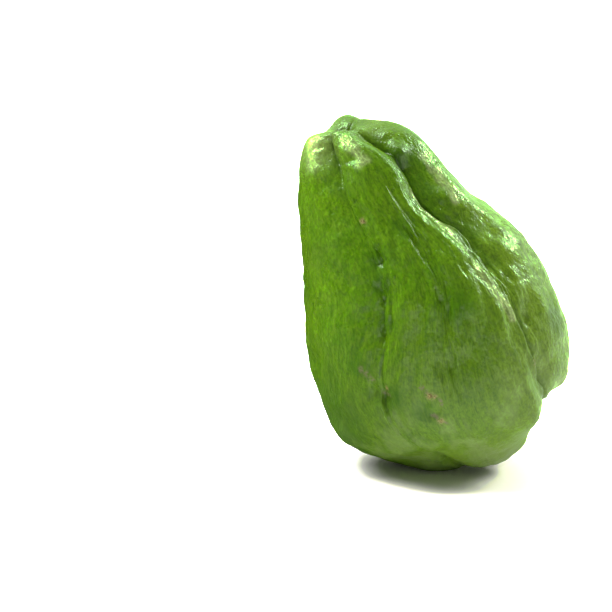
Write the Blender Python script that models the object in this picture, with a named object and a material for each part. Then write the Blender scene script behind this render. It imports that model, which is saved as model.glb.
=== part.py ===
"""One chayote squash, as picked: a pear-shaped fruit with five furrows, standing on its blossom end.

Run it with: blender --background --python part.py

The fruit is one solid. It starts as a sphere primitive whose poles are the blossom scar, at the bottom,
and the stem pit, at the top. Every vertex is moved to the fruit's skin by one rule, from how far round
the fruit it lies (its turn) and how far up the skin (along: 0 at the blossom scar, 1 in the stem pit).
The rule is a smooth pear profile on a bent spine, less the furrows, the pleats and the dents.

The fruit is first shaped upright in its own frame, in millimetres: X across it, Y through it from front
to back, and Z from blossom scar to stem. It is then leant over, pressed flat where it rests, and put on
the ground.
"""

import math

import bmesh
import bpy
import numpy as np
from mathutils import Matrix, Vector, noise

MM = 0.001  # metres in a millimetre

# Size. The lengths below are a fruit of nominal length 130 mm, and SCALE makes it longer or shorter.
SCALE = 1.0
LEAN_DEG = 18.0  # the stem end leans this far towards -X
REST_PRESS = 1.8  # how deep the resting spot is pressed flat, in millimetres

# Mesh of the skin.
MERIDIANS = 90
RINGS = 52
PROFILE_SAMPLES = 600
SAMPLES_PER_SPAN = 32
MERIDIAN_CROWDING = 0.45  # 0 spaces the meridians evenly, nearer 1 crowds them towards the furrows

# Half outline of the pear from blossom scar to stem pit: radius, height above the lowest lobe.
OUTLINE = (
    (0.0, 3.4),
    (8.0, 1.0),
    (17.5, 3.6),
    (27.0, 9.5),
    (33.8, 15.5),
    (40.2, 23.0),
    (44.0, 31.5),
    (45.2, 42.0),
    (43.8, 58.0),
    (39.6, 75.0),
    (33.2, 90.0),
    (27.6, 103.0),
    (24.0, 114.0),
    (18.8, 123.2),
    (11.8, 128.9),
    (6.2, 129.9),
    (3.0, 129.4),
    (1.5, 128.2),
    (0.0, 127.2),
)

# The spine is straight in the middle. It bends sideways into the neck, bends once more over the crown,
# and bends below, to the blossom scar: each sideways shift, and the heights between which it grows.
NECK_BEND = -6.6
NECK_BEND_FROM, NECK_BEND_TO = 62.0, 122.0
TOP_BEND = -2.4
TOP_BEND_FROM, TOP_BEND_TO = 116.0, 128.0
BLOSSOM_BEND = 3.5
BLOSSOM_BEND_FROM, BLOSSOM_BEND_TO = 32.0, 0.0

# Tables by along hold (along, value) entries. Their corners are rounded over this much of along.
ROUNDED = np.linspace(-0.02, 0.02, 5)

# Depth over width of the cross-section, by along.
FLATNESS = ((0.0, 0.9), (0.3, 0.86), (0.55, 0.87), (0.75, 0.94), (0.9, 1.0), (1.0, 1.0))

# Each furrow, by along: its turn in degrees (0 is +X, 90 is the back), the depth of its valley, and the
# depth of the sharp pleat in the valley's floor. On either side the valley's flank has a reach and a
# fullness: 1 is a straight slope that ends in a ridge, more makes the lobe swell towards the floor. A
# flank can be wider in places, by along, on the side of the smaller turns.
NO_WIDER = ((0, 0), (1, 0))
FURROWS = {
    "right_front": {
        "turn": (
            (0, 0), (0.1, -8), (0.18, -22), (0.25, -34), (0.31, -41), (0.38, -45), (0.59, -44),
            (0.63, -41), (0.67, -42), (0.71, -47), (0.745, -50), (0.8, -41), (0.86, -43), (0.93, -50),
            (1, -60),
        ),
        "valley": (
            (0, 1.2), (0.15, 2.2), (0.3, 2.6), (0.42, 1.6), (0.5, 1.9), (0.56, 3.2), (0.62, 4.8),
            (0.68, 5.4), (0.74, 6.2), (0.82, 6.0), (0.9, 4.5), (1, 1.0),
        ),
        "pleat": (
            (0, 0.3), (0.2, 1.2), (0.35, 0.8), (0.5, 0.6), (0.65, 1.2), (0.75, 2.4), (0.9, 1.2), (1, 0.2),
        ),
        "flanks": ((7.0, 1.05), (13.0, 1.1)),
        "wider": ((0, 0), (0.5, 0), (0.58, 2.4), (0.68, 2.4), (0.74, 0.4), (0.8, 0), (1, 0)),
    },
    "back_right": {
        "turn": ((0, 40), (0.3, 33), (0.6, 38), (0.85, 48), (1, 55)),
        "valley": ((0, 1.0), (0.2, 2.4), (0.5, 2.0), (0.75, 3.0), (0.9, 2.8), (1, 1.0)),
        "pleat": ((0, 0.3), (0.2, 0.7), (0.5, 0.3), (0.8, 0.8), (0.92, 1.2), (1, 0.3)),
        "flanks": ((13.0, 2.0), (13.0, 2.0)),
    },
    "back": {
        "turn": ((0, 100), (0.3, 96), (0.6, 104), (1, 115)),
        "valley": ((0, 1.0), (0.25, 2.8), (0.55, 2.6), (0.8, 2.4), (1, 0.8)),
        "pleat": ((0, 0.3), (0.25, 0.8), (0.6, 0.5), (0.9, 0.6), (1, 0.2)),
        "flanks": ((13.0, 2.0), (14.0, 2.0)),
    },
    "left": {
        "turn": ((0, 160), (0.3, 152), (0.6, 156), (0.85, 166), (1, 178)),
        "valley": ((0, 1.0), (0.2, 2.6), (0.5, 2.2), (0.75, 3.4), (0.9, 2.8), (1, 1.0)),
        "pleat": ((0, 0.3), (0.2, 0.7), (0.5, 0.4), (0.8, 1.0), (0.92, 1.2), (1, 0.3)),
        "flanks": ((12.0, 2.0), (13.0, 2.0)),
    },
    "front": {
        "turn": (
            (0, 232), (0.2, 248), (0.3, 242), (0.39, 239), (0.5, 250), (0.6, 257), (0.7, 258),
            (0.8, 252), (0.9, 251), (1, 254),
        ),
        "valley": (
            (0, 1.4), (0.16, 2.6), (0.24, 1.0), (0.33, 0.4), (0.4, 0.6), (0.46, 0.8), (0.51, 1.7),
            (0.56, 2.0), (0.64, 1.6), (0.76, 2.2), (0.88, 2.8), (0.95, 2.2), (1, 0.6),
        ),
        "pleat": (
            (0, 0.3), (0.17, 1.2), (0.23, 0.2), (0.32, 0), (0.46, 0.1), (0.54, 0.9), (0.62, 0.2),
            (0.8, 0.3), (0.86, 2.2), (0.95, 1.8), (1, 0.2),
        ),
        "flanks": ((11.0, 1.5), (8.0, 1.5)),
    },
    "front_right": {
        "turn": ((0, 282), (0.3, 274), (0.4, 275.6), (0.49, 279.3), (0.56, 284.5), (0.65, 287), (1, 282)),
        "valley": (
            (0, 0), (0.36, 0), (0.42, 0.9), (0.47, 0.5), (0.52, 1.0), (0.57, 0.6), (0.63, 1.2), (0.7, 0.5),
            (0.76, 0), (1, 0),
        ),
        "pleat": ((0, 0), (0.36, 0), (0.41, 0.5), (0.46, 0.1), (0.63, 0.3), (0.72, 0), (1, 0)),
        "flanks": ((4.0, 1.3), (7.0, 1.5)),
    },
}
PLEAT_WIDTH = 1.6
VALLEY_FLOOR = 1.5  # the valleys themselves are rounded over about this far

# Dents and swellings: turn in degrees, along, radius across and up the skin, and depth, which is
# negative where the skin swells out.
DENTS = (
    (271, 0.861, 2.6, 2.0, 1.1),  # dimple under the top of the front lobe
    (235, 0.82, 3.0, 3.0, 0.8),  # dimple on the left front lobe
    (261, 0.65, 2.6, 4.5, 1.0),  # three pinches down the front furrow
    (252, 0.51, 2.8, 4.0, 1.0),
    (240, 0.405, 5.0, 4.5, 2.1),
    (259, 0.345, 3.0, 3.0, 0.9),  # pit low on the front lobe
    (272, 0.19, 4.0, 3.0, 0.8),  # folds near the ground
    (252, 0.225, 6.0, 2.0, 0.7),
    (199, 0.47, 6.0, 4.0, 1.3),  # waist on the left side
    (200, 0.58, 14.0, 16.0, 0.9),
    (322, 0.845, 3.4, 4.0, -2.8),  # small ridge across the deep furrow
    (20, 0.88, 10.0, 9.0, -0.8),  # tops of the five lobes, uneven in height
    (88, 0.92, 8.0, 8.0, -5.3),
    (150, 0.92, 9.0, 6.0, 2.0),
    (214, 0.935, 8.0, 6.0, -2.7),
    (284, 0.945, 7.0, 6.0, -2.8),
    (0, 0.70, 9.0, 5.0, 1.0),  # waist and shoulder of the right lobe
    (350, 0.60, 14.0, 9.0, -1.6),
    (352, 0.20, 20.0, 10.0, 5.0),  # the right lobe ends short of the blossom scar
    (350, 0.12, 14.0, 8.0, 1.5),
    (310, 0.24, 9.0, 9.0, -2.2),  # the front lobe swells out under it
    (226, 0.20, 10.0, 7.0, 2.6),  # hollow and corner low on the left
    (203, 0.31, 12.0, 5.0, -1.8),
)

# Uneven growth: broad lumps and smaller ones, each a size across and a height.
LUMPS = ((26.0, 0.9), (9.0, 0.28))


def by_along(table, along):
    """The value of a (along, value) table, with its corners rounded."""
    places, values = zip(*table)
    return np.mean([np.interp(along + shift, places, values) for shift in ROUNDED], axis=0)


def catmull_rom(a, b, c, d, t):
    """The point t of the way from b to c, on the smooth curve through a, b, c and d."""
    bend = 2 * a - 5 * b + 4 * c - d
    twist = 3 * b - a - 3 * c + d
    return 0.5 * (2 * b + (c - a) * t + bend * t**2 + twist * t**3)


def smooth_curve(points, count):
    """The smooth curve through points, as count samples evenly spaced along it, and its length."""
    points = np.array(points, float)
    ends = np.vstack([2 * points[0] - points[1], points, 2 * points[-1] - points[-2]])
    steps = np.linspace(0, 1, SAMPLES_PER_SPAN, endpoint=False)
    spans = zip(ends, ends[1:], ends[2:], ends[3:])
    fine = np.array([catmull_rom(*span, t) for span in spans for t in steps] + [points[-1]])
    gone = np.concatenate([[0], np.cumsum(np.linalg.norm(np.diff(fine, axis=0), axis=1))])
    even = np.linspace(0, gone[-1], count)
    return np.column_stack([np.interp(even, gone, column) for column in fine.T]), gone[-1]


PROFILE, SKIN_LENGTH = smooth_curve(OUTLINE, PROFILE_SAMPLES)
SLOPE = np.gradient(PROFILE, axis=0)
SLOPE /= np.linalg.norm(SLOPE, axis=1)[:, None]


def eased(value, start, end):
    """0 before start and 1 after end, with a smooth S between them."""
    share = np.clip((value - start) / (end - start), 0, 1)
    return share**2 * (3 - 2 * share)


def wrapped(angle):
    """The same angle, between minus and plus half a turn."""
    return (angle + math.pi) % (2 * math.pi) - math.pi


def furrow_inset(turn, along, radius):
    """How deep the furrows cut into the skin there."""
    inset = np.zeros_like(turn)
    for furrow in FURROWS.values():
        centre = np.radians(by_along(furrow["turn"], along))
        aside = wrapped(turn - centre) * radius
        reach, fullness = (np.where(aside < 0, *pair) for pair in zip(*furrow["flanks"]))
        reach = reach + np.where(aside < 0, by_along(furrow.get("wider", NO_WIDER), along), 0)
        from_floor = np.hypot(aside, VALLEY_FLOOR) - VALLEY_FLOOR
        flank = np.clip(1 - from_floor / reach, 0, 1) ** fullness
        inset += by_along(furrow["valley"], along) * flank
        inset += by_along(furrow["pleat"], along) * np.exp(-np.abs(aside) / PLEAT_WIDTH)
    return inset


def dent_inset(turn, along, radius):
    """How deep the dents go there, or how far the bumps stand out."""
    inset = np.zeros_like(turn)
    for dent_turn, dent_along, across, up, depth in DENTS:
        aside = wrapped(turn - math.radians(dent_turn)) * radius / across
        above = (along - dent_along) * SKIN_LENGTH / up
        inset += depth * np.exp(-(aside**2) - above**2)
    return inset


def skin(turn, along):
    """Points on the fruit's skin, in its own frame in millimetres."""
    at = along * (len(PROFILE) - 1)
    index = np.arange(len(PROFILE))
    radius, height = (np.interp(at, index, column) for column in PROFILE.T)
    slope_out, slope_up = (np.interp(at, index, column) for column in SLOPE.T)
    inset = furrow_inset(turn, along, radius) + dent_inset(turn, along, radius)
    radius = radius - slope_up * inset
    height = height + slope_out * inset
    neck = NECK_BEND * eased(height, NECK_BEND_FROM, NECK_BEND_TO)
    neck += TOP_BEND * eased(height, TOP_BEND_FROM, TOP_BEND_TO)
    blossom = BLOSSOM_BEND * eased(height, BLOSSOM_BEND_FROM, BLOSSOM_BEND_TO)
    x = radius * np.cos(turn) + neck + blossom
    y = radius * np.sin(turn) * by_along(FLATNESS, along)
    return np.column_stack([x, y, height])


def meridian_turns(longitude, along):
    """Turns of the mesh's meridians: one meridian follows each furrow all the way, and the rest share
    the lobes between the furrows."""
    furrows = sorted(FURROWS.values(), key=lambda furrow: furrow["turn"][0][1] % 360)
    share = longitude / (2 * math.pi) * len(furrows)
    lobe = np.floor(share).astype(int) % len(furrows)
    within = share - np.floor(share)
    within -= MERIDIAN_CROWDING * np.sin(2 * math.pi * within) / (2 * math.pi)
    centres = np.array([np.radians(by_along(furrow["turn"], along)) for furrow in furrows])
    first = centres[lobe, np.arange(len(lobe))]
    following = centres[(lobe + 1) % len(furrows), np.arange(len(lobe))]
    return first + ((following - first) % (2 * math.pi)) * within


def lumps(point, normal):
    """point, moved along its normal by the uneven growth."""
    rise = sum(height * noise.noise(point / size) for size, height in LUMPS)
    return point + normal * rise


def fruit_mesh():
    """The fruit's skin in its own frame, in millimetres, as a bmesh."""
    body = bmesh.new()
    bmesh.ops.create_uvsphere(body, u_segments=MERIDIANS, v_segments=RINGS, radius=1)
    start = np.array([vertex.co for vertex in body.verts])
    longitude = np.arctan2(start[:, 1], start[:, 0]) % (2 * math.pi)
    along = np.arccos(np.clip(-start[:, 2], -1, 1)) / math.pi
    for vertex, place in zip(body.verts, skin(meridian_turns(longitude, along), along)):
        vertex.co = place
    body.normal_update()
    grown = [lumps(vertex.co, vertex.normal) for vertex in body.verts]
    for vertex, place in zip(body.verts, grown):
        vertex.co = place
    return body


def set_down(body):
    """Leans the fruit over, presses its resting spot flat and puts that on the ground, with the middle of
    its box over the origin."""
    body.transform(Matrix.Scale(SCALE * MM, 4) @ Matrix.Rotation(-math.radians(LEAN_DEG), 4, "Y"))
    ground = min(vertex.co.z for vertex in body.verts) + REST_PRESS * MM
    for vertex in body.verts:
        vertex.co.z = max(vertex.co.z, ground)
    places = np.array([vertex.co for vertex in body.verts])
    middle = (places.min(axis=0) + places.max(axis=0)) / 2
    body.transform(Matrix.Translation(Vector((-middle[0], -middle[1], -ground))))


def waxy_skin():
    """Green fruit skin with a natural wax bloom."""
    material = bpy.data.materials.new("waxy_green_skin")
    material.use_nodes = True
    shader = material.node_tree.nodes["Principled BSDF"]
    shader.inputs["Base Color"].default_value = (0.16, 0.32, 0.03, 1)
    shader.inputs["Roughness"].default_value = 0.38
    shader.inputs["Metallic"].default_value = 0
    return material


def main():
    for old in list(bpy.data.objects):
        bpy.data.objects.remove(old)
    body = fruit_mesh()
    set_down(body)
    mesh = bpy.data.meshes.new("chayote")
    body.to_mesh(mesh)
    body.free()
    mesh.shade_smooth()
    mesh.materials.append(waxy_skin())
    fruit = bpy.data.objects.new("chayote", mesh)
    bpy.context.scene.collection.objects.link(fruit)


main()
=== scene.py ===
"""One chayote squash: its waxy, finely wrinkled green skin with corky scars, in a plain pale studio.

The fruit's form follows one rule: a pear profile on a bent spine, less furrows, pleats and dents, plus
uneven lumps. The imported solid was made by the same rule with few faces. Here it makes a fine mesh, which
gets its ripples from a Geometry Nodes tree and stands for the solid. Lengths in the rule are millimetres.
"""

import math

import bpy
import numpy as np
from mathutils import Matrix, Vector, noise


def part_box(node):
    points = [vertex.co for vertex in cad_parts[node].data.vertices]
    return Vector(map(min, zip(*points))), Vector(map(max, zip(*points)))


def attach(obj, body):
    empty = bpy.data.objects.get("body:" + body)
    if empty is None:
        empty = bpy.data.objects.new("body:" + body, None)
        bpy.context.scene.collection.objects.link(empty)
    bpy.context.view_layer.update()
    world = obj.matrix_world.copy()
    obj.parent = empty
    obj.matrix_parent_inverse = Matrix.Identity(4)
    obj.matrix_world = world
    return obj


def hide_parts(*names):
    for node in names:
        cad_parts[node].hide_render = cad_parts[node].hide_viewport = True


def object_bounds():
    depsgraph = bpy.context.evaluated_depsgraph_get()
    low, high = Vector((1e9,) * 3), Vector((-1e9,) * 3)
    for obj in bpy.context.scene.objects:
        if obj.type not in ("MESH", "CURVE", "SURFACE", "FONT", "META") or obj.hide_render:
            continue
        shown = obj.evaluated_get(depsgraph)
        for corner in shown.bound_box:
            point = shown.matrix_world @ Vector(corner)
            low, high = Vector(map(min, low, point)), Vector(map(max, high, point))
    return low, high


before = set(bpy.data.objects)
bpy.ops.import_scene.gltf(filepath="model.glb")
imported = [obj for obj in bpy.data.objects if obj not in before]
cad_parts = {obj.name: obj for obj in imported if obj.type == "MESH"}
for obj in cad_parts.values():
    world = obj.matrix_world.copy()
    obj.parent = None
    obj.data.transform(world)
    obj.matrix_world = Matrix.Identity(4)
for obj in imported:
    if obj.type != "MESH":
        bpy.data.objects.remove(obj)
CAD_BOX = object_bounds()

MM = 0.001  # metres in a millimetre
LEAN_DEG = 18.0  # the stem end leans this far towards -X
REST_PRESS = 1.8  # how deep the resting spot is pressed flat
BOX_MARGIN = 0.12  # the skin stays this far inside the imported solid's box

# Mesh of the skin: faces round it and along it.
MERIDIANS = 400
RINGS = 246
PROFILE_SAMPLES = 600  # points on the even outline, and fine points between two of its corners
SAMPLES_PER_SPAN = 32
MERIDIAN_CROWDING = 0.45  # 0 spaces the meridians evenly, nearer 1 crowds them towards the furrows

# Half outline of the pear from blossom scar to stem pit: radius, height above the lowest lobe.
OUTLINE = (
    (0.0, 3.4),
    (8.0, 1.0),
    (17.5, 3.6),
    (27.0, 9.5),
    (33.8, 15.5),
    (40.2, 23.0),
    (44.0, 31.5),
    (45.2, 42.0),
    (43.8, 58.0),
    (39.6, 75.0),
    (33.2, 90.0),
    (27.6, 103.0),
    (24.0, 114.0),
    (18.8, 123.2),
    (11.8, 128.9),
    (6.2, 129.9),
    (3.0, 129.4),
    (1.5, 128.2),
    (0.0, 127.2),
)

# The spine is straight in the middle. It bends sideways into the neck, bends once more over the crown,
# and bends below, to the blossom scar: each sideways shift, and the heights between which it grows.
NECK_BEND = -6.6
NECK_BEND_FROM, NECK_BEND_TO = 62.0, 122.0
TOP_BEND = -2.4
TOP_BEND_FROM, TOP_BEND_TO = 116.0, 128.0
BLOSSOM_BEND = 3.5
BLOSSOM_BEND_FROM, BLOSSOM_BEND_TO = 32.0, 0.0

# along is how far up the skin a place is: 0 at the blossom scar and 1 in the stem pit.
# Tables by along hold (along, value) entries. Their corners are rounded over this much of along.
ROUNDED = np.linspace(-0.02, 0.02, 5)

# Depth over width of the cross-section, by along.
FLATNESS = ((0.0, 0.9), (0.3, 0.86), (0.55, 0.87), (0.75, 0.94), (0.9, 1.0), (1.0, 1.0))

# Each furrow, by along: its turn in degrees (0 is +X, 90 is the back), the depth of its valley, and the
# depth of the sharp pleat in the valley's floor. On either side the valley's flank has a reach and a
# fullness: 1 is a straight slope that ends in a ridge, more makes the lobe swell towards the floor. A
# flank can be wider in places, by along, on the side of the smaller turns.
NO_WIDER = ((0, 0), (1, 0))
FURROWS = {
    "right_front": {
        "turn": (
            (0, 0), (0.1, -8), (0.18, -22), (0.25, -34), (0.31, -41), (0.38, -45), (0.59, -44),
            (0.63, -41), (0.67, -42), (0.71, -47), (0.745, -50), (0.8, -41), (0.86, -43), (0.93, -50),
            (1, -60),
        ),
        "valley": (
            (0, 1.2), (0.15, 2.2), (0.3, 2.6), (0.42, 1.6), (0.5, 1.9), (0.56, 3.2), (0.62, 4.8),
            (0.68, 5.4), (0.74, 6.2), (0.82, 6.0), (0.9, 5.3), (0.96, 3.4), (1, 1.0),
        ),
        "pleat": (
            (0, 0.3), (0.2, 1.2), (0.35, 0.8), (0.5, 0.6), (0.65, 1.2), (0.75, 2.4), (0.9, 2.0), (1, 0.2),
        ),
        "flanks": ((7.0, 1.05), (13.0, 1.1)),
        "wider": ((0, 0), (0.5, 0), (0.58, 2.4), (0.68, 2.4), (0.74, 0.4), (0.8, 0), (1, 0)),
    },
    "back_right": {
        "turn": ((0, 40), (0.3, 33), (0.6, 38), (0.85, 48), (1, 55)),
        "valley": ((0, 1.0), (0.2, 2.4), (0.5, 2.0), (0.75, 3.0), (0.9, 2.8), (1, 1.0)),
        "pleat": ((0, 0.3), (0.2, 0.7), (0.5, 0.3), (0.8, 0.8), (0.92, 1.2), (1, 0.3)),
        "flanks": ((13.0, 2.0), (13.0, 2.0)),
    },
    "back": {
        "turn": ((0, 100), (0.3, 96), (0.6, 104), (1, 115)),
        "valley": ((0, 1.0), (0.25, 2.8), (0.55, 2.6), (0.8, 2.4), (1, 0.8)),
        "pleat": ((0, 0.3), (0.25, 0.8), (0.6, 0.5), (0.9, 0.6), (1, 0.2)),
        "flanks": ((13.0, 2.0), (14.0, 2.0)),
    },
    "left": {
        "turn": ((0, 160), (0.3, 152), (0.6, 156), (0.85, 166), (1, 178)),
        "valley": ((0, 1.0), (0.2, 2.6), (0.5, 2.2), (0.75, 3.4), (0.9, 2.8), (1, 1.0)),
        "pleat": ((0, 0.3), (0.2, 0.7), (0.5, 0.4), (0.8, 1.0), (0.92, 1.2), (1, 0.3)),
        "flanks": ((12.0, 2.0), (13.0, 2.0)),
    },
    "front": {
        "turn": (
            (0, 232), (0.2, 248), (0.3, 242), (0.39, 239), (0.5, 250), (0.6, 257), (0.7, 258),
            (0.8, 252), (0.9, 251), (1, 254),
        ),
        "valley": (
            (0, 1.4), (0.16, 2.6), (0.24, 1.0), (0.33, 0.1), (0.4, 0.2), (0.46, 0.5), (0.51, 1.6),
            (0.56, 2.0), (0.64, 1.6), (0.76, 2.2), (0.88, 2.8), (0.95, 2.2), (1, 0.6),
        ),
        "pleat": (
            (0, 0.3), (0.17, 1.2), (0.23, 0.2), (0.32, 0), (0.46, 0.1), (0.54, 0.9), (0.62, 0.2),
            (0.8, 0.3), (0.86, 2.2), (0.95, 1.8), (1, 0.2),
        ),
        "flanks": ((11.0, 1.5), (8.0, 1.5)),
    },
    "front_right": {
        "turn": ((0, 282), (0.3, 274), (0.4, 275.6), (0.49, 279.3), (0.56, 284.5), (0.65, 287), (1, 282)),
        "valley": (
            (0, 0), (0.36, 0), (0.42, 0.9), (0.47, 0.5), (0.52, 1.0), (0.57, 0.6), (0.63, 1.2), (0.7, 0.5),
            (0.76, 0), (1, 0),
        ),
        "pleat": ((0, 0), (0.36, 0), (0.41, 0.5), (0.46, 0.1), (0.63, 0.3), (0.72, 0), (1, 0)),
        "flanks": ((4.0, 1.3), (7.0, 1.5)),
    },
}
PLEAT_WIDTH = 1.6
VALLEY_FLOOR = 1.5  # the valleys themselves are rounded over about this far

# Dents and swellings: turn in degrees, along, radius across and up the skin, and depth, which is
# negative where the skin swells out.
DENTS = (
    (271, 0.861, 2.6, 2.0, 1.1),  # dimple under the top of the front lobe
    (235, 0.82, 3.0, 3.0, 0.8),  # dimple on the left front lobe
    (261, 0.65, 2.6, 4.5, 0.6),  # three pinches down the front furrow
    (252, 0.51, 2.8, 4.0, 1.0),
    (240, 0.405, 5.0, 4.5, 2.1),
    (259, 0.345, 3.0, 3.0, 0.9),  # pit low on the front lobe
    (244, 0.385, 2.2, 2.6, 1.1),  # deep dent low beside the front furrow
    (273, 0.668, 1.2, 1.2, 0.5),  # round pit high on the front lobe
    (264, 0.335, 2.0, 1.6, 0.7),
    (319, 0.445, 1.6, 2.6, 1.0),  # crack in the deep furrow
    (272, 0.19, 4.0, 3.0, 0.8),  # folds near the ground
    (252, 0.225, 6.0, 2.0, 0.7),
    (199, 0.47, 6.0, 4.0, 1.3),  # waist on the left side
    (200, 0.58, 14.0, 16.0, 0.9),
    (322, 0.845, 3.4, 4.0, -2.8),  # small ridge across the deep furrow
    (20, 0.88, 10.0, 9.0, -0.8),  # tops of the five lobes, uneven in height
    (88, 0.92, 8.0, 8.0, -5.3),
    (150, 0.92, 9.0, 6.0, 2.0),
    (214, 0.935, 8.0, 6.0, -2.7),
    (284, 0.945, 7.0, 6.0, -2.8),
    (0, 0.70, 9.0, 5.0, 1.0),  # waist and shoulder of the right lobe
    (350, 0.60, 14.0, 9.0, -1.6),
    (352, 0.20, 20.0, 10.0, 5.0),  # the right lobe ends short of the blossom scar
    (350, 0.12, 14.0, 8.0, 1.5),
    (310, 0.24, 9.0, 9.0, -2.2),  # the front lobe swells out under it
    (226, 0.20, 10.0, 7.0, 2.6),  # hollow and corner low on the left
    (203, 0.31, 12.0, 5.0, -1.8),
)

# Uneven growth: broad lumps and smaller ones, each a size across and a height.
LUMPS = ((26.0, 0.9), (9.0, 0.28))

# Corky scars: turn in degrees and along, and width of the scab.
SCARS = (
    ((260, 0.735), 1.5),
    ((315, 0.363), 1.6),
    ((264, 0.373), 1.7),
    ((266, 0.368), 1.0),
    ((265, 0.318), 1.6),
    ((246, 0.405), 1.1),
    ((18, 0.47), 1.8),
    ((62, 0.66), 1.5),
    ((78, 0.33), 2.2),
    ((128, 0.55), 1.6),
    ((141, 0.28), 2.0),
    ((186, 0.66), 1.4),
    ((182, 0.36), 1.7),
    ((0, 1.0), 1.6),
)
SCAB_SUNK = 0.15  # how deep the middle of a scab lies in the skin
# Rub marks where the skin lost its green: from and to, by turn and along, and width.
RUBS = (
    ((237, 0.452), (245, 0.392), 1.4),
    ((262, 0.395), (268, 0.352), 0.9),
    ((262, 0.335), (267, 0.31), 0.8),
    ((30, 0.41), (24, 0.35), 1.0),
    ((112, 0.44), (118, 0.40), 1.1),
    ((170, 0.60), (173, 0.55), 0.8),
)
# Painted highlights: pale streaks along the ridges and on the crown's tops, where the softboxes' sheen falls:
# from and to, by turn and along, and width.
PAINTED_HIGHLIGHT_RIDGES = (
    ((272, 0.905), (279, 0.845), 2.8),
    ((224, 0.915), (226, 0.865), 2.6),
    ((306, 0.76), (310, 0.684), 1.7),
    ((310, 0.684), (308, 0.583), 2.2),
    ((308, 0.583), (309, 0.509), 2.2),
    ((309, 0.509), (312, 0.46), 1.8),
    ((341, 0.81), (331, 0.71), 2.2),
)
# Places where the skin is a deeper green: turn in degrees and along, and width.
STAINS = (
    ((247, 0.385), 5.0),
    ((259, 0.345), 4.5),
    ((236, 0.46), 5.0),
    ((262, 0.66), 5.0),
    ((256, 0.60), 4.0),
    ((253, 0.53), 4.0),
    ((283, 0.70), 5.0),
    ((288, 0.52), 6.0),
    ((338, 0.42), 6.0),
    ((22, 0.50), 8.0),
    ((66, 0.38), 7.0),
    ((100, 0.55), 8.0),
    ((130, 0.33), 7.0),
    ((165, 0.48), 8.0),
    ((200, 0.62), 6.0),
)
# Fine folds in the skin: from and to, by turn and along, width and depth.
FOLDS = (
    ((238.0, 0.445), (243.0, 0.400), 1.1, 0.50),
    ((242.5, 0.392), (243.5, 0.370), 1.2, 0.90),
    ((283.8, 0.693), (283.8, 0.627), 1.0, 0.40),
    ((279.9, 0.600), (281.3, 0.541), 1.0, 0.45),
    ((281.3, 0.541), (280.0, 0.483), 0.9, 0.45),
    ((262.0, 0.675), (259.5, 0.648), 1.1, 0.80),
    ((259.5, 0.650), (254.9, 0.572), 1.0, 0.60),
    ((254.9, 0.572), (250.8, 0.487), 1.0, 0.50),
    ((294.3, 0.633), (298.8, 0.576), 0.9, 0.50),
    ((319.1, 0.461), (319.0, 0.440), 0.8, 0.60),
    ((225.0, 0.925), (243.0, 0.930), 0.8, 0.35),
    ((228.0, 0.905), (248.0, 0.905), 0.8, 0.35),
    ((216.0, 0.275), (223.0, 0.245), 1.2, 0.60),
    ((230.0, 0.172), (240.0, 0.150), 1.2, 0.60),
    ((20.0, 0.55), (24.0, 0.47), 1.0, 0.50),
    ((58.0, 0.74), (62.0, 0.63), 1.0, 0.45),
    ((70.0, 0.42), (75.0, 0.36), 1.1, 0.50),
    ((118.0, 0.52), (125.0, 0.44), 1.0, 0.50),
    ((135.0, 0.72), (132.0, 0.62), 1.0, 0.45),
    ((176.0, 0.70), (180.0, 0.61), 1.0, 0.45),
    ((192.0, 0.55), (188.0, 0.46), 1.0, 0.50),
    ((340.0, 0.52), (345.0, 0.44), 1.0, 0.45),
)
# Folds, rub marks and the ridges of painted highlight are wavy: how long their waves are, and how far they
# stray. The seed makes the waves the same each time, because the noise behind them otherwise starts from the
# clock.
WAVE_LENGTH, WAVE_HEIGHT = 4.0, 2.2
WAVE_SEED = 3
# The pattern coordinate that follows the skin is wound on a spindle: its radius is this much, and this
# share of the profile's radius.
GRAIN_RADIUS, GRAIN_SHARE = 12.0, 0.65


# ---- The rule of the fruit's form -------------------------------------------------------------------


def by_along(table, along):
    """The value of a (along, value) table, with its corners rounded."""
    places, values = zip(*table)
    return np.mean([np.interp(along + shift, places, values) for shift in ROUNDED], axis=0)


def catmull_rom(a, b, c, d, t):
    """The point t of the way from b to c, on the smooth curve through a, b, c and d."""
    bend = 2 * a - 5 * b + 4 * c - d
    twist = 3 * b - a - 3 * c + d
    return 0.5 * (2 * b + (c - a) * t + bend * t**2 + twist * t**3)


def smooth_curve(points, count):
    """The smooth curve through points, as count samples evenly spaced along it, and its length."""
    points = np.array(points, float)
    ends = np.vstack([2 * points[0] - points[1], points, 2 * points[-1] - points[-2]])
    steps = np.linspace(0, 1, SAMPLES_PER_SPAN, endpoint=False)
    spans = zip(ends, ends[1:], ends[2:], ends[3:])
    fine = np.array([catmull_rom(*span, t) for span in spans for t in steps] + [points[-1]])
    gone = np.concatenate([[0], np.cumsum(np.linalg.norm(np.diff(fine, axis=0), axis=1))])
    even = np.linspace(0, gone[-1], count)
    return np.column_stack([np.interp(even, gone, column) for column in fine.T]), gone[-1]


PROFILE, SKIN_LENGTH = smooth_curve(OUTLINE, PROFILE_SAMPLES)
SLOPE = np.gradient(PROFILE, axis=0)
SLOPE /= np.linalg.norm(SLOPE, axis=1)[:, None]


def eased(value, start, end):
    """0 before start and 1 after end, with a smooth S between them."""
    share = np.clip((value - start) / (end - start), 0, 1)
    return share**2 * (3 - 2 * share)


def wrapped(angle):
    """The same angle, between minus and plus half a turn."""
    return (angle + math.pi) % (2 * math.pi) - math.pi


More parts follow.
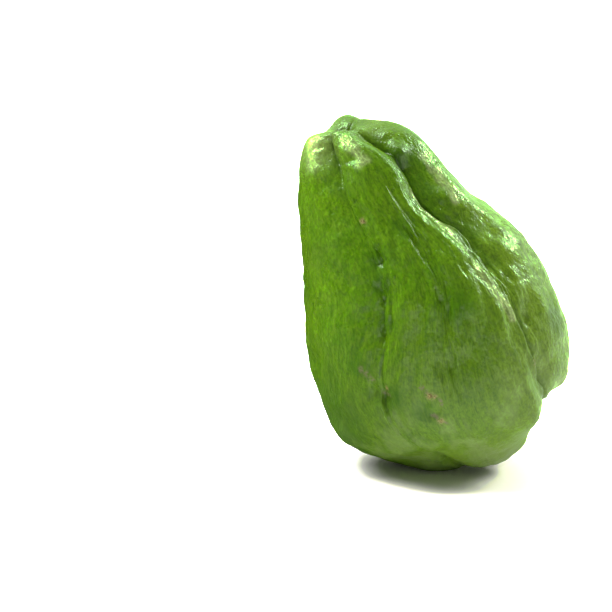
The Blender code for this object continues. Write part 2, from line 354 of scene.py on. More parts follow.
def valleys_and_pleats(turn, along, radius):
    """How deep the furrows' valleys cut into the skin there, and how deep their pleats."""
    valleys = np.zeros_like(turn)
    pleats = np.zeros_like(turn)
    for furrow in FURROWS.values():
        centre = np.radians(by_along(furrow["turn"], along))
        aside = wrapped(turn - centre) * radius
        reach, fullness = (np.where(aside < 0, *pair) for pair in zip(*furrow["flanks"]))
        reach = reach + np.where(aside < 0, by_along(furrow.get("wider", NO_WIDER), along), 0)
        from_floor = np.hypot(aside, VALLEY_FLOOR) - VALLEY_FLOOR
        flank = np.clip(1 - from_floor / reach, 0, 1) ** fullness
        valleys += by_along(furrow["valley"], along) * flank
        pleats += by_along(furrow["pleat"], along) * np.exp(-np.abs(aside) / PLEAT_WIDTH)
    return valleys, pleats


def dent_inset(turn, along, radius):
    """How deep the dents go there, or how far the swellings stand out."""
    inset = np.zeros_like(turn)
    for dent_turn, dent_along, across, up, depth in DENTS:
        aside = wrapped(turn - math.radians(dent_turn)) * radius / across
        above = (along - dent_along) * SKIN_LENGTH / up
        inset += depth * np.exp(-(aside**2) - above**2)
    return inset


def skin(turn, along):
    """Points on the fruit's skin, in its own frame, and the depths of the valleys and the pleats there."""
    at = along * (len(PROFILE) - 1)
    index = np.arange(len(PROFILE))
    radius, height = (np.interp(at, index, column) for column in PROFILE.T)
    slope_out, slope_up = (np.interp(at, index, column) for column in SLOPE.T)
    valleys, pleats = valleys_and_pleats(turn, along, radius)
    inset = valleys + pleats + dent_inset(turn, along, radius)
    radius = radius - slope_up * inset
    height = height + slope_out * inset
    neck = NECK_BEND * eased(height, NECK_BEND_FROM, NECK_BEND_TO)
    neck += TOP_BEND * eased(height, TOP_BEND_FROM, TOP_BEND_TO)
    blossom = BLOSSOM_BEND * eased(height, BLOSSOM_BEND_FROM, BLOSSOM_BEND_TO)
    x = radius * np.cos(turn) + neck + blossom
    y = radius * np.sin(turn) * by_along(FLATNESS, along)
    return np.column_stack([x, y, height]), valleys, pleats


def meridian_turns(longitude, along):
    """Turns of the mesh's meridians: one meridian follows each furrow all the way, and the rest share
    the lobes between the furrows."""
    furrows = sorted(FURROWS.values(), key=lambda furrow: furrow["turn"][0][1] % 360)
    share = longitude / (2 * math.pi) * len(furrows)
    lobe = np.floor(share).astype(int) % len(furrows)
    within = share - np.floor(share)
    within -= MERIDIAN_CROWDING * np.sin(2 * math.pi * within) / (2 * math.pi)
    centres = np.array([np.radians(by_along(furrow["turn"], along)) for furrow in furrows])
    first = centres[lobe, np.arange(len(lobe))]
    following = centres[(lobe + 1) % len(furrows), np.arange(len(lobe))]
    return first + ((following - first) % (2 * math.pi)) * within


# ---- The skin's mesh ----------------------------------------------------------------------------------

ALONG_IN_RADIANS = 3.0  # the whole way along counts like a turn of this many radians
NO_LENGTH = 1e-9  # stands in for the squared length of a stroke that is one spot


def grid_faces():
    """Quads between the rings, and a fan of triangles at either pole. The poles come last."""
    faces = []
    for ring in range(RINGS - 2):
        for column in range(MERIDIANS):
            a = ring * MERIDIANS + column
            b = ring * MERIDIANS + (column + 1) % MERIDIANS
            faces.append((a, b, b + MERIDIANS, a + MERIDIANS))
    bottom, top = (RINGS - 1) * MERIDIANS, (RINGS - 1) * MERIDIANS + 1
    last = (RINGS - 2) * MERIDIANS
    for column in range(MERIDIANS):
        after = (column + 1) % MERIDIANS
        faces.append((bottom, after, column))
        faces.append((top, last + column, last + after))
    return faces


def nearest(turn, along, wanted_turn, wanted_along):
    """The vertex nearest to a turn in degrees and an along. A turn counts for less towards the ends,
    where the fruit is narrow."""
    narrowing = np.sin(np.clip(along, 0.02, 0.98) * math.pi)
    aside = wrapped(turn - math.radians(wanted_turn)) * narrowing
    above = ALONG_IN_RADIANS * (along - wanted_along)
    return int(np.argmin(aside**2 + above**2))


def near_stroke(places, start, end, width):
    """1 on the straight stroke between two of the places, and less the further away: 0.37 at the width."""
    a, b = places[start], places[end]
    share = np.clip((places - a) @ (b - a) / max((b - a) @ (b - a), NO_LENGTH), 0, 1)
    away = np.linalg.norm(places - a - share[:, None] * (b - a), axis=1)
    return np.exp(-((away / width) ** 2))


def marks(turn, along, places, table):
    """How strongly the places are marked, from 0 to 1. Each row of the table holds the two ends of a
    stroke, or one spot, by turn and along, and its width."""
    marked = np.zeros(len(places))
    for *spots, width in table:
        start, end = (nearest(turn, along, *spot) for spot in (spots[0], spots[-1]))
        marked = np.maximum(marked, near_stroke(places, start, end, width))
    return marked


def smooth_fruit():
    """The fruit upright in its own frame, as an object with the attributes that the relief and the skin's
    material read, and the vertices in the middle of its scars. Its mesh is in millimetres until set_down."""
    column, ring = np.meshgrid(np.arange(MERIDIANS), np.arange(1, RINGS))
    longitude = np.append(column.ravel() / MERIDIANS * 2 * math.pi, [0, 0])
    along = np.append(ring.ravel() / RINGS, [0, 1])
    turn = meridian_turns(longitude, along)
    places, valleys, pleats = skin(turn, along)
    mesh = bpy.data.meshes.new("fruit_skin")
    mesh.from_pydata(places.tolist(), [], grid_faces())
    mesh.shade_smooth()
    normals = [Vector(normal.vector) for normal in mesh.vertex_normals]
    grown = np.array([
        Vector(place) + normal * sum(height * noise.noise(Vector(place) / size) for size, height in LUMPS)
        for place, normal in zip(places, normals)
    ])
    noise.seed_set(WAVE_SEED)
    waves = [noise.noise_vector(Vector(place) / WAVE_LENGTH) for place in grown]
    wavy = grown + WAVE_HEIGHT * np.array(waves)
    for start, end, width, depth in FOLDS:
        folded = near_stroke(wavy, nearest(turn, along, *start), nearest(turn, along, *end), width)
        grown -= (depth * folded)[:, None] * np.array(normals)
    mesh.vertices.foreach_set("co", np.ravel(grown))
    profile_radius = np.interp(along, np.linspace(0, 1, PROFILE_SAMPLES), PROFILE[:, 0])
    spindle = GRAIN_RADIUS + GRAIN_SHARE * profile_radius
    grain = np.column_stack([spindle * np.cos(longitude), spindle * np.sin(longitude), along * SKIN_LENGTH])
    for name, values in (("own", np.array(grown)), ("grain", grain)):
        mesh.attributes.new(name, "FLOAT_VECTOR", "POINT").data.foreach_set("vector", np.ravel(values))
    levels = {
        "along": along,
        "valley": valleys,
        "pleat": pleats,
        "scar": marks(turn, along, grown, SCARS),
        "rub": marks(turn, along, wavy, RUBS),
        # painted highlights along the ridges and on the crown
        "pale": marks(turn, along, wavy, PAINTED_HIGHLIGHT_RIDGES),
        "stain": marks(turn, along, grown, STAINS),
    }
    for name, values in levels.items():
        mesh.attributes.new(name, "FLOAT", "POINT").data.foreach_set("value", values.astype(np.float32))
    fruit = bpy.data.objects.new("fruit_skin", mesh)
    bpy.context.scene.collection.objects.link(fruit)
    return fruit, [nearest(turn, along, *spot) for spot, _ in SCARS]


def set_down(mesh):
    """Leans the fruit over, presses its resting spot flat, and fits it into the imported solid's box."""
    mesh.transform(Matrix.Scale(MM, 4) @ Matrix.Rotation(-math.radians(LEAN_DEG), 4, "Y"))
    places = np.zeros(len(mesh.vertices) * 3)
    mesh.vertices.foreach_get("co", places)
    places = places.reshape(-1, 3)
    places[:, 2] = np.maximum(places[:, 2], places[:, 2].min() + REST_PRESS * MM)
    low, high = (np.array(corner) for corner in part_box("chayote"))
    low[:2] += BOX_MARGIN * MM
    high -= BOX_MARGIN * MM
    share = (places - places.min(axis=0)) / np.ptp(places, axis=0)
    mesh.vertices.foreach_set("co", np.ravel(low + share * (high - low)))
    mesh.update()


# ---- Nodes --------------------------------------------------------------------------------------------


def linear(hex_colour):
    """An sRGB hex colour as linear red, green, blue and full alpha."""
    parts = [int(hex_colour[i : i + 2], 16) / 255 for i in (1, 3, 5)]
    return [part / 12.92 if part <= 0.04045 else ((part + 0.055) / 1.055) ** 2.4 for part in parts] + [1]


def add_node(tree, kind, inputs=None, **settings):
    """Adds a node. settings are its own properties. inputs maps a socket's name or number to a value, or
    to the socket, or the node's first output, that feeds it."""
    node = tree.nodes.new(kind)
    for name, value in settings.items():
        setattr(node, name, value)
    for name, value in (inputs or {}).items():
        if isinstance(value, bpy.types.Node):
            value = value.outputs[0]
        if isinstance(value, bpy.types.NodeSocket):
            tree.links.new(value, node.inputs[name])
        else:
            node.inputs[name].default_value = value
    return node


def place_points(mapping, points, curve=0):
    """Makes a curve pass straight through these (place, level) points."""
    curve = mapping.curves[curve]
    while len(curve.points) < len(points):
        curve.points.new(0.5, 0.5)
    for handle, point in zip(curve.points, points):
        handle.location = point
        handle.handle_type = "VECTOR"
    mapping.update()


MIX_A, MIX_B, MIX_RESULT = 6, 7, 2  # the colour sockets of a Mix node


# ---- Relief: a Geometry Nodes tree --------------------------------------------------------------------

# Each kind of relief: spacing round the fruit, spacing along it and height, in millimetres.
RELIEF = {
    "Ripples": (7.0, 16.0, 3.2),
    "Pinches": (3.0, 5.0, 1.0),
    "Peel": (1.9, 2.2, 0.16),
}
RELIEF_SEED, SCAB_SEED = 4, 2
# How much of it there is, by along.
LIVELINESS = ((0.0, 0.3), (0.15, 0.5), (0.3, 0.9), (0.6, 1.0), (0.7, 0.8), (0.8, 0.4), (1.0, 0.15))
# It puckers up by this much more beside the furrows, where the valley is this deep or deeper.
PUCKERED_FROM, PUCKER = 2.5, 0.45


def relief_tree():
    """Raises and sinks the skin along its normal by three noises that follow its grain: long ripples,
    short pinches, and a fine unevenness like orange peel."""
    tree = bpy.data.node_groups.new("skin_relief", "GeometryNodeTree")
    tree.interface.new_socket("Geometry", in_out="INPUT", socket_type="NodeSocketGeometry")
    for name in RELIEF:
        tree.interface.new_socket(name + " spacing", in_out="INPUT", socket_type="NodeSocketVector")
        tree.interface.new_socket(name + " height", in_out="INPUT", socket_type="NodeSocketFloat")
    tree.interface.new_socket("Seed", in_out="INPUT", socket_type="NodeSocketInt")
    tree.interface.new_socket("Skin", in_out="INPUT", socket_type="NodeSocketMaterial")
    tree.interface.new_socket("Geometry", in_out="OUTPUT", socket_type="NodeSocketGeometry")
    given = add_node(tree, "NodeGroupInput").outputs
    grain = add_node(tree, "GeometryNodeInputNamedAttribute", {"Name": "grain"}, data_type="FLOAT_VECTOR")
    along = add_node(tree, "GeometryNodeInputNamedAttribute", {"Name": "along"}, data_type="FLOAT")
    valley = add_node(tree, "GeometryNodeInputNamedAttribute", {"Name": "valley"}, data_type="FLOAT")
    rise = 0.0
    for name in RELIEF:
        scaled = add_node(
            tree, "ShaderNodeVectorMath", {0: grain, 1: given[name + " spacing"]}, operation="DIVIDE"
        )
        field = add_node(
            tree,
            "ShaderNodeTexNoise",
            {"Vector": scaled, "W": given["Seed"], "Scale": 1.0, "Detail": 1.0},
            noise_dimensions="4D",
        )
        level = add_node(tree, "ShaderNodeMath", {0: field, 1: 0.5}, operation="SUBTRACT")
        rise = add_node(
            tree, "ShaderNodeMath", {0: level, 1: given[name + " height"], 2: rise}, operation="MULTIPLY_ADD"
        )
    lively = add_node(tree, "ShaderNodeFloatCurve", {"Value": along})
    place_points(lively.mapping, LIVELINESS)
    puckered = add_node(
        tree, "ShaderNodeMapRange", {"Value": valley, "From Max": PUCKERED_FROM, "To Max": PUCKER}
    )
    lively = add_node(tree, "ShaderNodeMath", {0: lively, 1: puckered}, operation="ADD")
    rise = add_node(tree, "ShaderNodeMath", {0: rise, 1: lively}, operation="MULTIPLY")
    normal = add_node(tree, "GeometryNodeInputNormal")
    offset = add_node(tree, "ShaderNodeVectorMath", {0: normal, "Scale": rise}, operation="SCALE")
    moved = add_node(tree, "GeometryNodeSetPosition", {"Geometry": given["Geometry"], "Offset": offset})
    solid = add_node(tree, "GeometryNodeRealizeInstances", {"Geometry": moved})
    dressed = add_node(tree, "GeometryNodeSetMaterial", {"Geometry": solid, "Material": given["Skin"]})
    add_node(tree, "NodeGroupOutput", {"Geometry": dressed})
    return tree


def scab_tree():
    """Sets a small, flat, knobbly scab on each point: as wide as the point says, and square to its
    normal."""
    tree = bpy.data.node_groups.new("corky_scabs", "GeometryNodeTree")
    for name, kind in (
        ("Geometry", "NodeSocketGeometry"),
        ("Flatness", "NodeSocketFloat"),
        ("Knob spacing", "NodeSocketFloat"),
        ("Knob height", "NodeSocketFloat"),
        ("Seed", "NodeSocketInt"),
        ("Cork", "NodeSocketMaterial"),
    ):
        tree.interface.new_socket(name, in_out="INPUT", socket_type=kind)
    tree.interface.new_socket("Geometry", in_out="OUTPUT", socket_type="NodeSocketGeometry")
    given = add_node(tree, "NodeGroupInput").outputs
    width = add_node(tree, "GeometryNodeInputNamedAttribute", {"Name": "width"}, data_type="FLOAT")
    outward = add_node(tree, "GeometryNodeInputNamedAttribute", {"Name": "outward"}, data_type="FLOAT_VECTOR")
    ball = add_node(tree, "GeometryNodeMeshIcoSphere", {"Radius": 0.5, "Subdivisions": 4})
    turned = add_node(tree, "FunctionNodeAlignRotationToVector", {"Vector": outward}, axis="Z")
    thin = add_node(tree, "ShaderNodeMath", {0: width, 1: given["Flatness"]}, operation="MULTIPLY")
    size = add_node(tree, "ShaderNodeCombineXYZ", {"X": width, "Y": width, "Z": thin})
    points = add_node(tree, "GeometryNodeMeshToPoints", {"Mesh": given["Geometry"]})
    set_out = add_node(
        tree,
        "GeometryNodeInstanceOnPoints",
        {"Points": points, "Instance": ball.outputs["Mesh"], "Rotation": turned, "Scale": size},
    )
    solid = add_node(tree, "GeometryNodeRealizeInstances", {"Geometry": set_out})
    place = add_node(tree, "GeometryNodeInputPosition")
    scaled = add_node(tree, "ShaderNodeVectorMath", {0: place, 1: given["Knob spacing"]}, operation="DIVIDE")
    field = add_node(
        tree,
        "ShaderNodeTexNoise",
        {"Vector": scaled, "W": given["Seed"], "Scale": 1.0, "Detail": 2.0},
        noise_dimensions="4D",
    )
    level = add_node(tree, "ShaderNodeMath", {0: field, 1: 0.5}, operation="SUBTRACT")
    rise = add_node(tree, "ShaderNodeMath", {0: level, 1: given["Knob height"]}, operation="MULTIPLY")
    normal = add_node(tree, "GeometryNodeInputNormal")
    offset = add_node(tree, "ShaderNodeVectorMath", {0: normal, "Scale": rise}, operation="SCALE")
    knobbly = add_node(tree, "GeometryNodeSetPosition", {"Geometry": solid, "Offset": offset})
    dressed = add_node(tree, "GeometryNodeSetMaterial", {"Geometry": knobbly, "Material": given["Cork"]})
    add_node(tree, "NodeGroupOutput", {"Geometry": dressed})
    return tree


def scab_points(fruit, places):
    """A point just under the finished skin for each scar, with the width of its scab and the way out."""
    skin_mesh = fruit.data
    outward = [skin_mesh.vertex_normals[place].vector for place in places]
    sunk = [skin_mesh.vertices[place].co - way * SCAB_SUNK * MM for place, way in zip(places, outward)]
    mesh = bpy.data.meshes.new("corky_scabs")
    mesh.from_pydata(sunk, [], [])
    widths = [width * MM for _, width in SCARS]
    mesh.attributes.new("width", "FLOAT", "POINT").data.foreach_set("value", widths)
    mesh.attributes.new("outward", "FLOAT_VECTOR", "POINT").data.foreach_set("vector", np.ravel(outward))
    scabs = bpy.data.objects.new("corky_scabs", mesh)
    bpy.context.scene.collection.objects.link(scabs)
    return scabs


def run_tree(piece, tree, settings):
    """Gives piece's mesh what the tree makes of it, with these inputs by name, and leaves no modifier."""
    modifier = piece.modifiers.new(tree.name, "NODES")
    modifier.node_group = tree
    for item in tree.interface.items_tree:
        if item.in_out == "INPUT" and item.name in settings:
            modifier[item.identifier] = settings[item.name]
    evaluated = piece.evaluated_get(bpy.context.evaluated_depsgraph_get())
    made = bpy.data.meshes.new_from_object(evaluated)
    made.name = piece.data.name
    piece.modifiers.remove(modifier)
    piece.data = made


# ---- Materials: the skin, the cork and the studio's paper and felt -------------------------------------

# The attributes that the skin's material reads, and the socket that gives each.
SKIN_ATTRIBUTES = {
    "own": "Vector",
    "grain": "Vector",
    "along": "Fac",
    "valley": "Fac",
    "pleat": "Fac",
    "scar": "Fac",
    "rub": "Fac",
    "pale": "Fac",
    "stain": "Fac",
}

# The skin's patterns: the coordinate each follows, spacing round and along in millimetres, detail, and the
# levels that become 0 and 1. Real pores are finer, and are drawn as coarse as they need to show.
PATTERNS = {
    "patches": ("own", (24, 24, 30), 2, 0.42, 0.62),
    "blotches": ("own", (8, 8, 10), 3, 0.42, 0.66),
    "streaks": ("grain", (2.2, 2.2, 11), 3, 0.42, 0.68),
    "haze": ("own", (9, 9, 12), 3, 0.45, 0.58),
    "dashes": ("own", (0.9, 0.9, 1.7), 2, 0.30, 0.70),
    "peel": ("own", (1.7, 1.7, 2.2), 2, 0.30, 0.70),
    "freckles": ("own", (0.8, 0.8, 1.1), 2, 0.44, 0.60),
    "threads": ("grain", (0.7, 0.7, 4.0), 2, 0.45, 0.70),
    "frayed": ("own", (0.9, 0.9, 0.9), 3, 0.38, 0.58),
    "pores": ("own", (0.5, 0.5, 0.5), 1, 0.30, 0.70),
}

# Zones of the skin: what marks them, and the levels of it that become 0 and 1. sideways, backwards, valley
# and pleat are in millimetres.
ZONES = {
    "bulb": ("along", 0.56, 0.30),
    "low": ("along", 0.42, 0.22),
    "crown": ("along", 0.82, 0.96),
    # painted light: the bottom, lit up as if by light bounced off the paper
    "painted_bounce_light_foot": ("along", 0.30, 0.12),
    "stem_pit": ("along", 0.985, 0.998),
    "shade": ("valley", 1.0, 6.0),
    # painted shade: the sharp pleats in the furrows
    "painted_shade_crease": ("pleat", 0.6, 2.6),
    "scar": ("scar", 0.15, 0.8),
    "rub": ("rub", 0.1, 0.9),
    # painted highlight: pale streaks along the ridges
    "pale": ("pale", 0.1, 0.9),
    "stain": ("stain", 0.15, 0.8),
    # painted shade: the floors of the furrows' valleys
    "painted_shade_trough": ("valley", 0.9, 2.2),
    # painted light: the right side, which faces the softboxes, is made paler and yellower
    "painted_light_right": ("sideways", 8.0, 36.0),
    # painted shade: the back is made darker, to hold down the bright light behind the fruit
    "painted_shade_back": ("backwards", 2.0, 22.0),
    # painted shade: the far left side
    "painted_shade_left": ("sideways", -27.0, -39.0),
    # painted highlight: the crown's left side, where the left softbox's sheen falls
    "painted_sheen_left": ("sideways", -4.0, -20.0),
    # painted shade: the crown's right side
    "painted_shade_right": ("sideways", -12.0, 4.0),
}

# Colour layers over the flesh green: hex, the masks that multiply, and the layer's strength.
# Some are painted light and shade, not the skin's own colour: painted light on the right side and at the
# foot, painted highlights on the ridges and the crown's left, painted shade on the back, the bulb's left, the
# crown's right and in the valleys and pleats.
FLESH_GREEN = "#598b04"
COLOUR_LAYERS = (
    ("#638e02", ("patches",), 0.65),
    ("#668f14", ("bulb",), 0.75),
    ("#56820a", ("bulb", "blotches"), 0.75),
    # painted light: paler, yellower green on the right side, where the softboxes light it
    ("#7c9a2e", ("painted_light_right",), 0.70),
    # painted shade: darker, duller green on the back
    ("#4c6e12", ("painted_shade_back",), 0.62),
    # painted highlight: whitish sheen along the ridges and on the crown
    ("#c0cc90", ("pale",), 0.64),
    ("#386204", ("streaks",), 0.45),
    ("#2f5206", ("freckles",), 0.38),
    ("#82a822", ("threads",), 0.36),
    # painted highlight: whitish sheen on the crown's left
    ("#b6be7c", ("crown", "painted_sheen_left"), 0.50),
    # painted shade: darker green on the crown's right, toning down the light from above
    ("#677a0a", ("crown", "painted_shade_right"), 0.60),
    # painted light: paler, brighter green near the bottom, for light bounced off the paper
    ("#90b43a", ("painted_bounce_light_foot",), 0.62),
    ("#3c6c00", ("stain",), 0.48),
    ("#86a452", ("haze", "low"), 0.70),
    # painted shade: darker green on the left of the bulb
    ("#3c6a02", ("bulb", "painted_shade_left"), 0.62),
    # painted shade: mottled darker green in the furrows' valleys
    ("#3c640f", ("painted_shade_trough", "blotches"), 0.40),
    ("#2f5c03", ("shade",), 0.12),
    # painted shade: dark green in the pleats
    ("#1f4203", ("painted_shade_crease",), 0.70),
    ("#7d7b55", ("rub", "frayed"), 0.88),
    ("#9a9a56", ("scar", "frayed"), 0.80),
    ("#56761c", ("stem_pit",), 0.70),
)

# Bumps, from coarse to fine: pattern and height in millimetres.
BUMPS = (("streaks", 0.02), ("peel", 0.12), ("dashes", 0.085), ("pores", 0.01))
# Roughness of the neck and of the bulb, and how much duller the blotches are.
NECK_ROUGHNESS, BULB_ROUGHNESS, BLOTCH_DULLNESS = 0.27, 0.42, 0.08


def waxy_chayote_skin():
    """Fruit skin under its natural wax: a smooth, tough green cuticle, finely wrinkled lengthwise. The wax
    gives broad soft highlights that the wrinkles break into dashes."""
    material = bpy.data.materials.new("waxy_chayote_skin")
    material.use_nodes = True
    tree = material.node_tree
    shader = tree.nodes["Principled BSDF"]
    read = {
        name: add_node(tree, "ShaderNodeAttribute", attribute_name=name).outputs[socket]
        for name, socket in SKIN_ATTRIBUTES.items()
    }
    read["sideways"], read["backwards"], _ = add_node(tree, "ShaderNodeSeparateXYZ", {0: read["own"]}).outputs
    made = {}
    for name, (coordinate, spacing, detail, low, high) in PATTERNS.items():
        scaled = add_node(tree, "ShaderNodeVectorMath", {0: read[coordinate], 1: spacing}, operation="DIVIDE")
        field = add_node(tree, "ShaderNodeTexNoise", {"Vector": scaled, "Scale": 1.0, "Detail": detail})
        made[name] = add_node(
            tree, "ShaderNodeMapRange", {"Value": field, "From Min": low, "From Max": high}
        )
    for name, (value, low, high) in ZONES.items():
        made[name] = add_node(
            tree,
            "ShaderNodeMapRange",
            {"Value": read[value], "From Min": low, "From Max": high},
            interpolation_type="SMOOTHSTEP",
        )

    # the base colour holds the skin's own greens, marks and scars, and also painted light, shade and
    # highlights
    colour = linear(FLESH_GREEN)
    for hex_colour, masks, strength in COLOUR_LAYERS:
        mask = strength
        for name in masks:
            mask = add_node(tree, "ShaderNodeMath", {0: made[name], 1: mask}, operation="MULTIPLY")
        colour = add_node(
            tree, "ShaderNodeMix", {0: mask, MIX_A: colour, MIX_B: linear(hex_colour)}, data_type="RGBA"
        ).outputs[MIX_RESULT]
    tree.links.new(colour, shader.inputs["Base Color"])

    neck_to_bulb = add_node(
        tree,
        "ShaderNodeMapRange",
        {"Value": made["bulb"], "To Min": NECK_ROUGHNESS, "To Max": BULB_ROUGHNESS},
    )
    roughness = add_node(
        tree,
        "ShaderNodeMath",
        {0: made["blotches"], 1: BLOTCH_DULLNESS, 2: neck_to_bulb},
        operation="MULTIPLY_ADD",
    )
    tree.links.new(roughness.outputs[0], shader.inputs["Roughness"])

    bumped = {}
    for name, height in BUMPS:
        inputs = {"Height": made[name], "Distance": height * MM, "Strength": 1.0, **bumped}
        bumped = {"Normal": add_node(tree, "ShaderNodeBump", inputs)}
    tree.links.new(bumped["Normal"].outputs[0], shader.inputs["Normal"])

    shader.inputs["Metallic"].default_value = 0.0
    shader.inputs["IOR"].default_value = 1.41
    shader.inputs["Subsurface Weight"].default_value = 0.08
    shader.inputs["Subsurface Radius"].default_value = (0.6, 1.0, 0.2)
    shader.inputs["Subsurface Scale"].default_value = 2.0 * MM
    return material


CORK_GRAIN = 0.5 * MM  # spacing of the cork's grooves


def dry_cork():
    """Cork that healed over a scratch: dead, dry tissue, dull and tan, with darker grooves."""
    material = bpy.data.materials.new("dry_cork")
    material.use_nodes = True
    tree = material.node_tree
    shader = tree.nodes["Principled BSDF"]
    place = add_node(tree, "ShaderNodeTexCoord").outputs["Object"]
    scaled = add_node(tree, "ShaderNodeVectorMath", {0: place, 1: (CORK_GRAIN,) * 3}, operation="DIVIDE")
    field = add_node(tree, "ShaderNodeTexNoise", {"Vector": scaled, "Scale": 1.0, "Detail": 3.0})
    share = add_node(tree, "ShaderNodeMapRange", {"Value": field, "From Min": 0.35, "From Max": 0.65})
    colour = add_node(
        tree,
        "ShaderNodeMix",
        {0: share, MIX_A: linear("#66602a"), MIX_B: linear("#aaa562")},
        data_type="RGBA",
    )
    tree.links.new(colour.outputs[MIX_RESULT], shader.inputs["Base Color"])
    bump = add_node(tree, "ShaderNodeBump", {"Height": share, "Distance": 0.1 * MM})
    tree.links.new(bump.outputs[0], shader.inputs["Normal"])
    shader.inputs["Roughness"].default_value = 0.75
    shader.inputs["IOR"].default_value = 1.4
    return material


def matte_white_paper():
    """Seamless white studio paper: flat and dull, it only takes soft shadows."""
    material = bpy.data.materials.new("matte_white_paper")
    material.use_nodes = True
    shader = material.node_tree.nodes["Principled BSDF"]
    shader.inputs["Base Color"].default_value = linear("#f6f0f4")
    shader.inputs["Roughness"].default_value = 0.9
    shader.inputs["Specular IOR Level"].default_value = 0.1
    return material


def dark_green_felt():
    """Felt on a flag: a dull, dark cloth that gives back almost no light."""
    material = bpy.data.materials.new("dark_green_felt")
    material.use_nodes = True
    shader = material.node_tree.nodes["Principled BSDF"]
    shader.inputs["Base Color"].default_value = linear("#3a5c10")
    shader.inputs["Roughness"].default_value = 1.0
    shader.inputs["Specular IOR Level"].default_value = 0.0
    return material


# ---- Studio -------------------------------------------------------------------------------------------

LENS_MM = 100.0
SENSOR_MM = 36.0
CAMERA_HEIGHT_DEG = 12.0  # how far above the horizon the camera looks down from
CAMERA_DISTANCE = 592.5 * MM
AIM_ASIDE, AIM_BELOW = 44.7 * MM, 4.9 * MM  # the camera is aimed left of the fruit's middle and below it
FLOOR_RADIUS, FLOOR_SIDES = 1.6, 96

# Radiance of the white room: its ceiling, the sweep behind the fruit, a white panel behind on the right,
# the dark room before the fruit and on its left, the paper's far end just below the horizon, and the paper
# further down.
CEILING, SWEEP, PANEL, DARK_ROOM, PAPER, BOUNCE = 1.0, 0.7, 1.1, 0.13, 1.0, 1.0
CEILING_TILT = (0.0, 0.42, 0.91)  # the way to the ceiling's brightest part
PANEL_WAY = (0.60, 0.74, 0.30)  # the way to the panel's middle
# Softboxes on the left, on the right and above: the way to them, distance and width in metres, and
# radiance.
SOFTBOXES = {
    "left_softbox": ((-0.68, 0.06, 0.73), 2.0, 0.90, 14.0),
    "right_softbox": ((0.72, 0.32, 0.60), 2.0, 0.70, 17.0),
    "top_softbox": ((-0.28, 0.04, 0.96), 2.0, 0.60, 18.0),
}
# A green flag stands round the fruit's left side: radius, between these turns and these heights. It keeps
# reflections of the white paper from washing out the skin there, and takes no other light away.
FLAG_RADIUS = 0.11
FLAG_TURNS = (100, 250)
FLAG_UPRIGHTS = 24
FLAG_HEIGHTS = (0.001, 0.118)

# The picture is developed a little hard, so that the paper comes out white: radiance and what it becomes.
EXPOSURE_CURVE = ((0.0, 0.0), (0.30, 0.30), (0.46, 0.54), (0.59, 1.0))


def make_floor():
    """A wide round sheet of paper under the fruit."""
    mesh = bpy.data.meshes.new("paper_floor")
    turns = np.linspace(0, 2 * math.pi, FLOOR_SIDES, endpoint=False)
    rim = np.column_stack([FLOOR_RADIUS * np.cos(turns), FLOOR_RADIUS * np.sin(turns), np.zeros_like(turns)])
    mesh.from_pydata(rim.tolist(), [], [range(len(rim))])
    mesh.materials.append(matte_white_paper())
    floor = bpy.data.objects.new("paper_floor", mesh)
    bpy.context.scene.collection.objects.link(floor)


def make_flag():
    """A dark wall and the ground inside it, which only reflections see."""
    turns = np.radians(np.linspace(*FLAG_TURNS, FLAG_UPRIGHTS))
    x, y = FLAG_RADIUS * np.cos(turns), FLAG_RADIUS * np.sin(turns)
    low, high = (np.column_stack([x, y, np.full_like(x, height)]) for height in FLAG_HEIGHTS)
    count = len(turns)
    wall = [(i, i + 1, count + i + 1, count + i) for i in range(count - 1)]
    ground = [(2 * count, i + 1, i) for i in range(count - 1)]
    mesh = bpy.data.meshes.new("green_flag")
    mesh.from_pydata(np.vstack([low, high, [0, 0, FLAG_HEIGHTS[0]]]).tolist(), [], wall + ground)
    mesh.materials.append(dark_green_felt())
    flag = bpy.data.objects.new("green_flag", mesh)
    flag.visible_camera = flag.visible_shadow = flag.visible_diffuse = False
    bpy.context.scene.collection.objects.link(flag)


def make_room():
    """The light of a white studio with a bright ceiling, a white sweep and a dark room by the camera."""
    world = bpy.data.worlds.new("white_studio")
    world.use_nodes = True
    tree = world.node_tree
    way = add_node(tree, "ShaderNodeTexCoord").outputs["Object"]
    parts = add_node(tree, "ShaderNodeSeparateXYZ", {0: way}).outputs
    tilted = add_node(tree, "ShaderNodeVectorMath", {0: way, 1: CEILING_TILT}, operation="DOT_PRODUCT")
    beside = add_node(tree, "ShaderNodeVectorMath", {0: way, 1: PANEL_WAY}, operation="DOT_PRODUCT")
    # Each step: what it follows, the levels between which it comes in, and the radiance it brings.
    steps = (
        (parts["Y"], -0.25, 0.35, SWEEP),
        (parts["X"], -0.35, -0.65, DARK_ROOM),
        (tilted.outputs["Value"], 0.80, 0.92, CEILING),
        (beside.outputs["Value"], 0.72, 0.86, PANEL),
        (parts["Z"], 0.0, -0.02, PAPER),
        (parts["Z"], -0.10, -0.30, BOUNCE),
    )
    radiance = DARK_ROOM
    for value, low, high, level in steps:
        share = add_node(
            tree,
            "ShaderNodeMapRange",
            {"Value": value, "From Min": low, "From Max": high},
            interpolation_type="SMOOTHSTEP",
        )
        radiance = add_node(tree, "ShaderNodeMix", {0: share, 2: radiance, 3: level}, data_type="FLOAT")
    tree.links.new(radiance.outputs[0], tree.nodes["Background"].inputs["Strength"])
    tree.nodes["Background"].inputs["Color"].default_value = (1, 1, 1, 1)
    bpy.context.scene.world = world


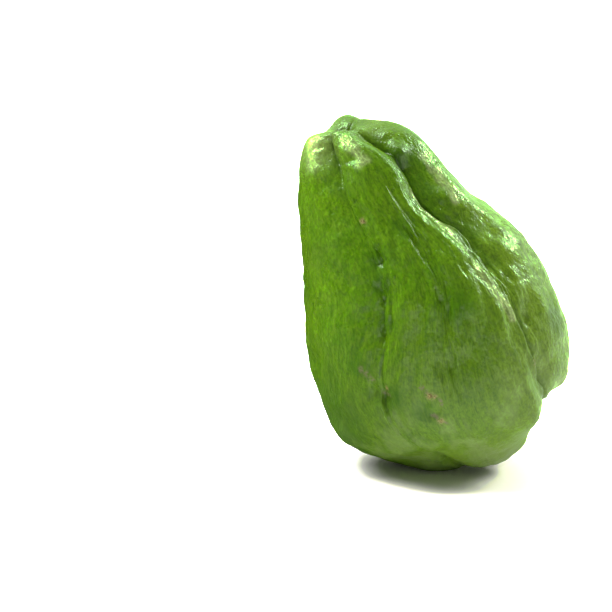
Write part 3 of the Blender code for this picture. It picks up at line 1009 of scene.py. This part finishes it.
def make_softboxes(target):
    """Square lights that face the target. Their power follows from their radiance and their area."""
    for name, (way, distance, width, radiance) in SOFTBOXES.items():
        light = bpy.data.lights.new(name, "AREA")
        light.size = width
        light.energy = radiance * math.pi * width**2
        box = bpy.data.objects.new(name, light)
        box.location = target + Vector(way).normalized() * distance
        box.rotation_euler = (target - box.location).to_track_quat("-Z", "Y").to_euler()
        bpy.context.scene.collection.objects.link(box)


def make_camera(target):
    """A long lens that looks slightly down on the fruit, which stands off the middle of the view."""
    rise = math.radians(CAMERA_HEIGHT_DEG)
    back = Vector((0, -math.cos(rise), math.sin(rise)))
    up = Vector((0, math.sin(rise), math.cos(rise)))
    eye = target + back * CAMERA_DISTANCE
    aim = target + Vector((-AIM_ASIDE, 0, 0)) - up * AIM_BELOW
    camera = bpy.data.objects.new("camera", bpy.data.cameras.new("camera"))
    camera.data.lens = LENS_MM
    camera.data.sensor_width = SENSOR_MM
    camera.data.clip_start = 10 * MM
    camera.location = eye
    camera.rotation_euler = (aim - eye).to_track_quat("-Z", "Y").to_euler()
    bpy.context.scene.collection.objects.link(camera)
    bpy.context.scene.camera = camera


# ---- The scene ----------------------------------------------------------------------------------------

fruit_skin, scar_places = smooth_fruit()
settings = {"Seed": RELIEF_SEED, "Skin": waxy_chayote_skin()}
for name, (round_it, along_it, height) in RELIEF.items():
    settings[name + " spacing"] = (round_it, round_it, along_it)
    settings[name + " height"] = height
run_tree(fruit_skin, relief_tree(), settings)
set_down(fruit_skin.data)
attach(fruit_skin, "root")
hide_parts("chayote")

corky_scabs = scab_points(fruit_skin, scar_places)
settings = {
    "Flatness": 0.35,
    "Knob spacing": 0.7 * MM,
    "Knob height": 0.9 * MM,
    "Seed": SCAB_SEED,
    "Cork": dry_cork(),
}
run_tree(corky_scabs, scab_tree(), settings)
corky_scabs.data.shade_smooth()
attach(corky_scabs, "root")

middle = Vector((0, 0, CAD_BOX[1].z / 2))
make_floor()
make_flag()
make_room()
make_softboxes(middle)
make_camera(middle)
bpy.context.scene.view_settings.view_transform = "Standard"
bpy.context.scene.view_settings.use_curve_mapping = True
place_points(bpy.context.scene.view_settings.curve_mapping, EXPOSURE_CURVE, curve=3)
